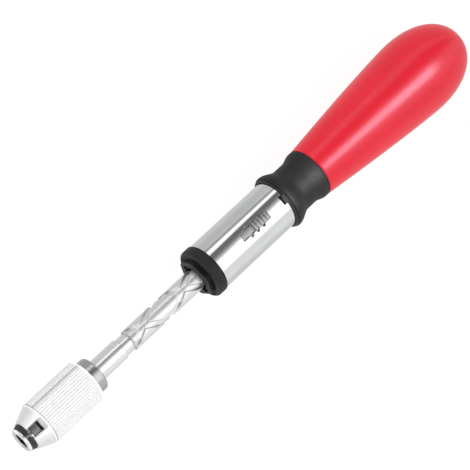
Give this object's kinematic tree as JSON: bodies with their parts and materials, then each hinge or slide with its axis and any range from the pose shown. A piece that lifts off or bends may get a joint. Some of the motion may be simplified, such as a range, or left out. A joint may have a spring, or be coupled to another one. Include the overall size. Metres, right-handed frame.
{
  "type": "ratchet screwdriver",
  "caption": "Push-action spiral ratchet screwdriver: red bulb handle, chromed casing with thumb selector, crossed-groove spindle and knurled quick-release bit chuck.",
  "frame": {"origin": "on the tool's axis, at the middle of its length with the spindle run out", "axes": "+X along the tool from the bit socket to the handle's end, +Z out through the selector"},
  "size_m": [0.2618, 0.0356, 0.0356],
  "materials": {
    "red_plastic": "satin moulded",
    "black_plastic": "satin moulded",
    "chrome": "polished plate",
    "knurled_aluminium": "bright turned and knurled",
    "bright_steel": "polished",
    "steel": "turned or drawn",
    "dark_steel": "hardened, dark",
    "bronze": "turned bearing bronze",
    "zinc": "die-cast light alloy"
  },
  "bodies": {
    "handle": {"handle_grip": "red_plastic", "neck_collar": "black_plastic", "casing": "chrome", "ratchet_body": "zinc", "front_bush": "bronze", "lock_clip": "steel", "ring_retainer": "dark_steel", "front_washer": "steel", "nut_spacer": "steel", "rear_washer": "steel", "rear_plug": "steel", "rear_nut": "bronze", "rocker_pin": "steel", "spring_tube": "steel", "spring_seat": "black_plastic", "return_spring": "steel"},
    "follower": {"spring_follower": "steel"},
    "spindle": {"spiral_spindle": "bright_steel", "spindle_screw": "steel", "chuck_body": "bright_steel", "chuck_pin": "steel", "chuck_collar": "steel", "nose_ring": "black_plastic", "sleeve_spring": "steel"},
    "sleeve": {"chuck_sleeve": "knurled_aluminium"},
    "latch": {"bit_latch": "dark_steel"},
    "reverse_nut": {"front_nut": "bronze"},
    "selector": {"selector_button": "steel", "detent_ball": "steel", "detent_spring": "steel"},
    "rocker": {"rocker_pawl": "steel"},
    "lock_ring": {"lock_ring": "black_plastic"}
  },
  "joints": [
    {"name": "spindle_push", "type": "slide", "parent": "handle", "child": "follower", "axis": [1, 0, 0], "range_m": [0, 0.046], "stiffness_N_per_m": 250, "springref_m": -0.03, "deforming": ["return_spring"]},
    {"name": "spindle_turn", "type": "hinge", "parent": "follower", "child": "spindle", "pos_m": [0, 0, 0], "axis": [1, 0, 0], "range_deg": [0, 360.5]},
    {"name": "reverse_nut_turn", "type": "hinge", "parent": "handle", "child": "reverse_nut", "pos_m": [-0.00955, 0, 0], "axis": [1, 0, 0], "range_deg": [0, 720.5]},
    {"name": "selector_slide", "type": "slide", "parent": "handle", "child": "selector", "axis": [-1, 0, 0], "range_m": [0, 0.0068]},
    {"name": "rocker_tilt", "type": "hinge", "parent": "handle", "child": "rocker", "pos_m": [-0.00155, 0, 0.00711], "axis": [0, -1, 0], "range_deg": [0, 8.05]},
    {"name": "lock_ring_turn", "type": "hinge", "parent": "handle", "child": "lock_ring", "pos_m": [-0.0297, 0, 0], "axis": [1, 0, 0], "range_deg": [0, 60]},
    {"name": "sleeve_pull", "type": "slide", "parent": "spindle", "child": "sleeve", "axis": [1, 0, 0], "range_m": [0, 0.0035], "stiffness_N_per_m": 600, "springref_m": -0.004, "deforming": ["sleeve_spring"]},
    {"name": "latch_lift", "type": "slide", "parent": "spindle", "child": "latch", "axis": [0, 0, 1], "range_m": [0, 0.00051]}
  ],
  "couplings": [
    {"joint": "spindle_turn", "follows": "spindle_push", "rad_per_m": 136.59},
    {"joint": "reverse_nut_turn", "follows": "spindle_push", "rad_per_m": 273.18},
    {"joint": "rocker_tilt", "follows": "selector_slide", "rad_per_m": 20.533},
    {"joint": "latch_lift", "follows": "sleeve_pull", "ratio": 0.14286}
  ]
}
